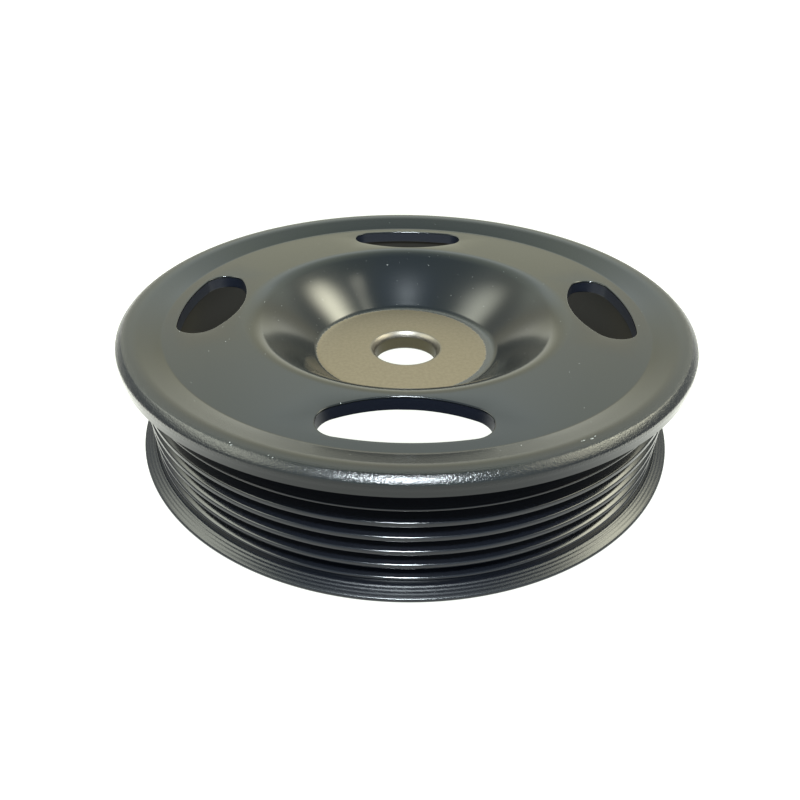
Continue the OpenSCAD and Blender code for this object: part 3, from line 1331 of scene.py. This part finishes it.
@dataclass
class Studio:
    """The glowing table, the white tent behind it, its dimmer sides and front, and the lamps."""

    # half of the table's side, and its own dark surface under the glow
    half: float = 3.0
    table: Colour = (0.02, 0.02, 0.02)
    table_roughness: float = 0.8
    glow: Colour = (1.02, 1.06, 1.0)
    # painted pool of the side lamps' light on the table beside the pulley
    side_glow: Colour = (5.1, 5.2, 4.6)
    far_glow: Colour = (2.0, 2.05, 1.85)
    shade: Colour = (0.05, 0.045, 0.03)
    # distances over which the table's glow changes, beside the pulley, behind it and under it
    aside: Span = (0.04, 0.18)
    along: Span = (0.03, 0.17)
    ahead: float = 0.01
    behind: Span = (0.22, 0.45)
    shaded: Span = (44.0 * MM, 50.0 * MM)
    shaded_r: float = 62.0 * MM
    rear: tuple[SkyBand, ...] = (
        SkyBand(-90, (1.20, 1.20, 1.10)),
        SkyBand(-4, (2.00, 2.05, 1.80)),
        SkyBand(4, (1.70, 1.72, 1.45)),
        SkyBand(12, (1.40, 1.40, 1.08)),
        SkyBand(20, (1.13, 1.12, 0.82)),
        SkyBand(28, (1.42, 1.48, 1.22)),
        SkyBand(36, (1.92, 2.12, 2.00)),
        SkyBand(42, (1.50, 1.66, 1.52)),
        SkyBand(52, (1.12, 1.27, 1.06)),
        SkyBand(62, (0.70, 0.82, 0.74)),
        SkyBand(90, (0.42, 0.54, 0.57)),
    )
    corners: tuple[SkyBand, ...] = (
        SkyBand(-90, (1.5, 1.5, 1.4)),
        SkyBand(-4, (2.2, 2.2, 2.0)),
        SkyBand(4, (2.9, 2.9, 2.6)),
        SkyBand(10, (2.1, 2.1, 1.8)),
        SkyBand(16, (1.25, 1.25, 1.02)),
        SkyBand(22, (1.10, 1.08, 0.84)),
        SkyBand(28, (1.30, 1.36, 1.15)),
        SkyBand(36, (1.66, 1.80, 1.55)),
        SkyBand(46, (1.40, 1.55, 1.35)),
        SkyBand(57, (1.05, 1.20, 1.05)),
        SkyBand(90, (0.42, 0.54, 0.57)),
    )
    sides: tuple[SkyBand, ...] = (
        SkyBand(-90, (2.6, 2.6, 2.4)),
        SkyBand(0, (2.5, 2.5, 2.3)),
        SkyBand(4, (0.70, 0.70, 0.62)),
        SkyBand(12, (0.40, 0.42, 0.40)),
        SkyBand(24, (0.50, 0.54, 0.54)),
        SkyBand(34, (0.90, 0.95, 0.85)),
        SkyBand(44, (1.10, 1.15, 1.00)),
        SkyBand(57, (1.10, 1.22, 1.10)),
        SkyBand(66, (0.60, 0.72, 0.70)),
        SkyBand(90, (0.42, 0.54, 0.57)),
    )
    front: tuple[SkyBand, ...] = (
        SkyBand(-90, (1.2, 1.2, 1.1)),
        SkyBand(5, (1.25, 1.32, 1.20)),
        SkyBand(28, (1.02, 1.15, 1.15)),
        SkyBand(45, (0.48, 0.60, 0.72)),
        SkyBand(70, (0.42, 0.56, 0.66)),
        SkyBand(90, (0.42, 0.54, 0.57)),
    )
    # how squarely a direction points away from the camera where one zone gives way to the next
    corner_zone: Span = (0.68, 0.84)
    rear_zone: Span = (0.92, 0.985)
    front_zone: Span = (-0.35, -0.75)
    lamps: tuple[SoftLight, ...] = (
        SoftLight("front_lamp", azimuth=-1.0, elevation=62.5, distance=0.60, width=0.10, height=0.085,
                  radiance=260.0, colour=(0.86, 0.95, 1.0)),
        SoftLight("right_softbox", azimuth=98.0, elevation=45.0, distance=0.52, width=0.58, height=0.26,
                  radiance=8.5, colour=(1.0, 0.98, 0.76), soft_x=0.6, soft_y=0.95),
        SoftLight("right_heart", azimuth=112.0, elevation=45.0, distance=0.52, width=0.28, height=0.22,
                  radiance=8.0, colour=(1.0, 0.98, 0.76), soft_x=0.9, soft_y=0.95),
        SoftLight("right_pane", azimuth=86.0, elevation=64.0, distance=0.80, width=0.10, height=0.11,
                  radiance=3.6, colour=(1.0, 0.98, 0.80), roll=18.0, soft_x=0.08, soft_y=0.08),
        SoftLight("left_softbox", azimuth=-90.0, elevation=46.0, distance=0.38, width=0.50, height=0.20,
                  radiance=7.2, colour=(0.97, 1.0, 0.84), soft_x=0.6, soft_y=0.95),
    )

    def glow_over_table(self, wiring: Wiring) -> bpy.types.NodeSocket:
        """Adds the table's glow, with a painted pool of the side lamps' light beside the pulley and painted
        shadow inside its drum.

        Args:
            wiring: The tree of the table's material.

        Returns:
            The colour's output.
        """
        where = wiring.add("ShaderNodeTexCoord").outputs["Object"]
        apart = wiring.split(where)
        aside = wiring.ramp(wiring.math("ABSOLUTE", apart["X"]), *self.aside)
        along = wiring.math("ABSOLUTE", wiring.math("ADD", apart["Y"], self.ahead))
        beside = wiring.product(aside, wiring.fall(along, *self.along))
        ground = wiring.colour_mix(wiring.ramp(apart["Y"], *self.behind), self.glow, self.far_glow)
        outside = wiring.colour_mix(beside, ground, self.side_glow)
        reach = wiring.vector("LENGTH", where).outputs["Value"]
        covered = wiring.ramp(reach, *self.shaded)
        covered = wiring.product(covered, wiring.math("LESS_THAN", reach, self.shaded_r))
        return wiring.colour_mix(covered, outside, self.shade)

    def floor(self) -> bpy.types.Object:
        """Makes the table top, a plain pale sheet that is lit from below.

        Returns:
            The floor.
        """
        mesh = bpy.data.meshes.new("table_top")
        s = self.half
        mesh.from_pydata([(-s, -s, 0), (s, -s, 0), (s, s, 0), (-s, s, 0)], [], [(0, 1, 2, 3)])
        made = bpy.data.materials.new("table_top")
        made.use_nodes = True
        wiring = Wiring(made.node_tree)
        shader = made.node_tree.nodes["Principled BSDF"]
        wiring.feed(shader, Base_Color=(*self.table, 1.0), Roughness=self.table_roughness,
                    Emission_Strength=1.0, Emission_Color=self.glow_over_table(wiring))
        mesh.materials.append(made)
        floor = bpy.data.objects.new("table_top", mesh)
        bpy.context.scene.collection.objects.link(floor)
        return floor

    def bands(self, wiring: Wiring, height: bpy.types.NodeSocket,
              bands: Sequence[SkyBand]) -> bpy.types.NodeSocket:
        """Adds a colour ramp over the height of a direction.

        Args:
            wiring: The world's tree.
            height: The direction's height, from -1 to 1.
            bands: Colours at their elevations, from the lowest.

        Returns:
            The colour's output.
        """
        ramp = wiring.add("ShaderNodeValToRGB")
        places = [(math.sin(math.radians(b.elevation)) + 1) / 2 for b in bands]
        stops = ramp.color_ramp.elements
        stops[0].position, stops[1].position = places[0], places[-1]
        stops[0].color, stops[1].color = (*bands[0].colour, 1.0), (*bands[-1].colour, 1.0)
        for band, place in zip(bands[1:-1], places[1:-1]):
            stops.new(place).color = (*band.colour, 1.0)
        share = wiring.math("MULTIPLY_ADD", height, 0.5, 0.5)
        return wiring.feed(ramp, Fac=share).outputs["Color"]

    def world(self) -> bpy.types.World:
        """Makes the room: a white tent behind the pulley, dimmer sides and a dark front.

        Returns:
            The world.
        """
        world = bpy.data.worlds.new("room")
        world.use_nodes = True
        wiring = Wiring(world.node_tree)
        ahead = wiring.add("ShaderNodeTexCoord").outputs["Generated"]
        height = wiring.split(ahead)["Z"]
        level, _ = wiring.flat(ahead)
        back = wiring.split(wiring.vector("NORMALIZE", level).outputs[0])["Y"]
        zones = (self.rear, self.corners, self.sides, self.front)
        rear, corners, sides, front = (self.bands(wiring, height, bands) for bands in zones)
        around = wiring.colour_mix(wiring.ramp(back, *self.corner_zone), sides, corners)
        around = wiring.colour_mix(wiring.ramp(back, *self.rear_zone), around, rear)
        around = wiring.colour_mix(wiring.ramp(back, *self.front_zone), around, front)
        wiring.feed(world.node_tree.nodes["Background"], Color=around, Strength=1.0)
        bpy.context.scene.world = world
        return world

    def build(self) -> None:
        """Makes the whole studio."""
        self.floor()
        self.world()
        for lamp in self.lamps:
            lamp.build()
        bpy.context.scene.view_settings.view_transform = "Standard"


def main() -> None:
    """Builds the pulley, the camera and the studio in order."""
    logging.basicConfig(level=logging.INFO, format="%(name)s: %(message)s", stream=sys.stdout)
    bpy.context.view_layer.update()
    PhotoCamera().build()
    LOG.info("camera placed")
    body = PulleyBody().build()
    LOG.info("%s: %d faces", body.name, len(body.data.polygons))
    Studio().build()
    LOG.info("studio built")


if __name__ == "__main__":
    main()
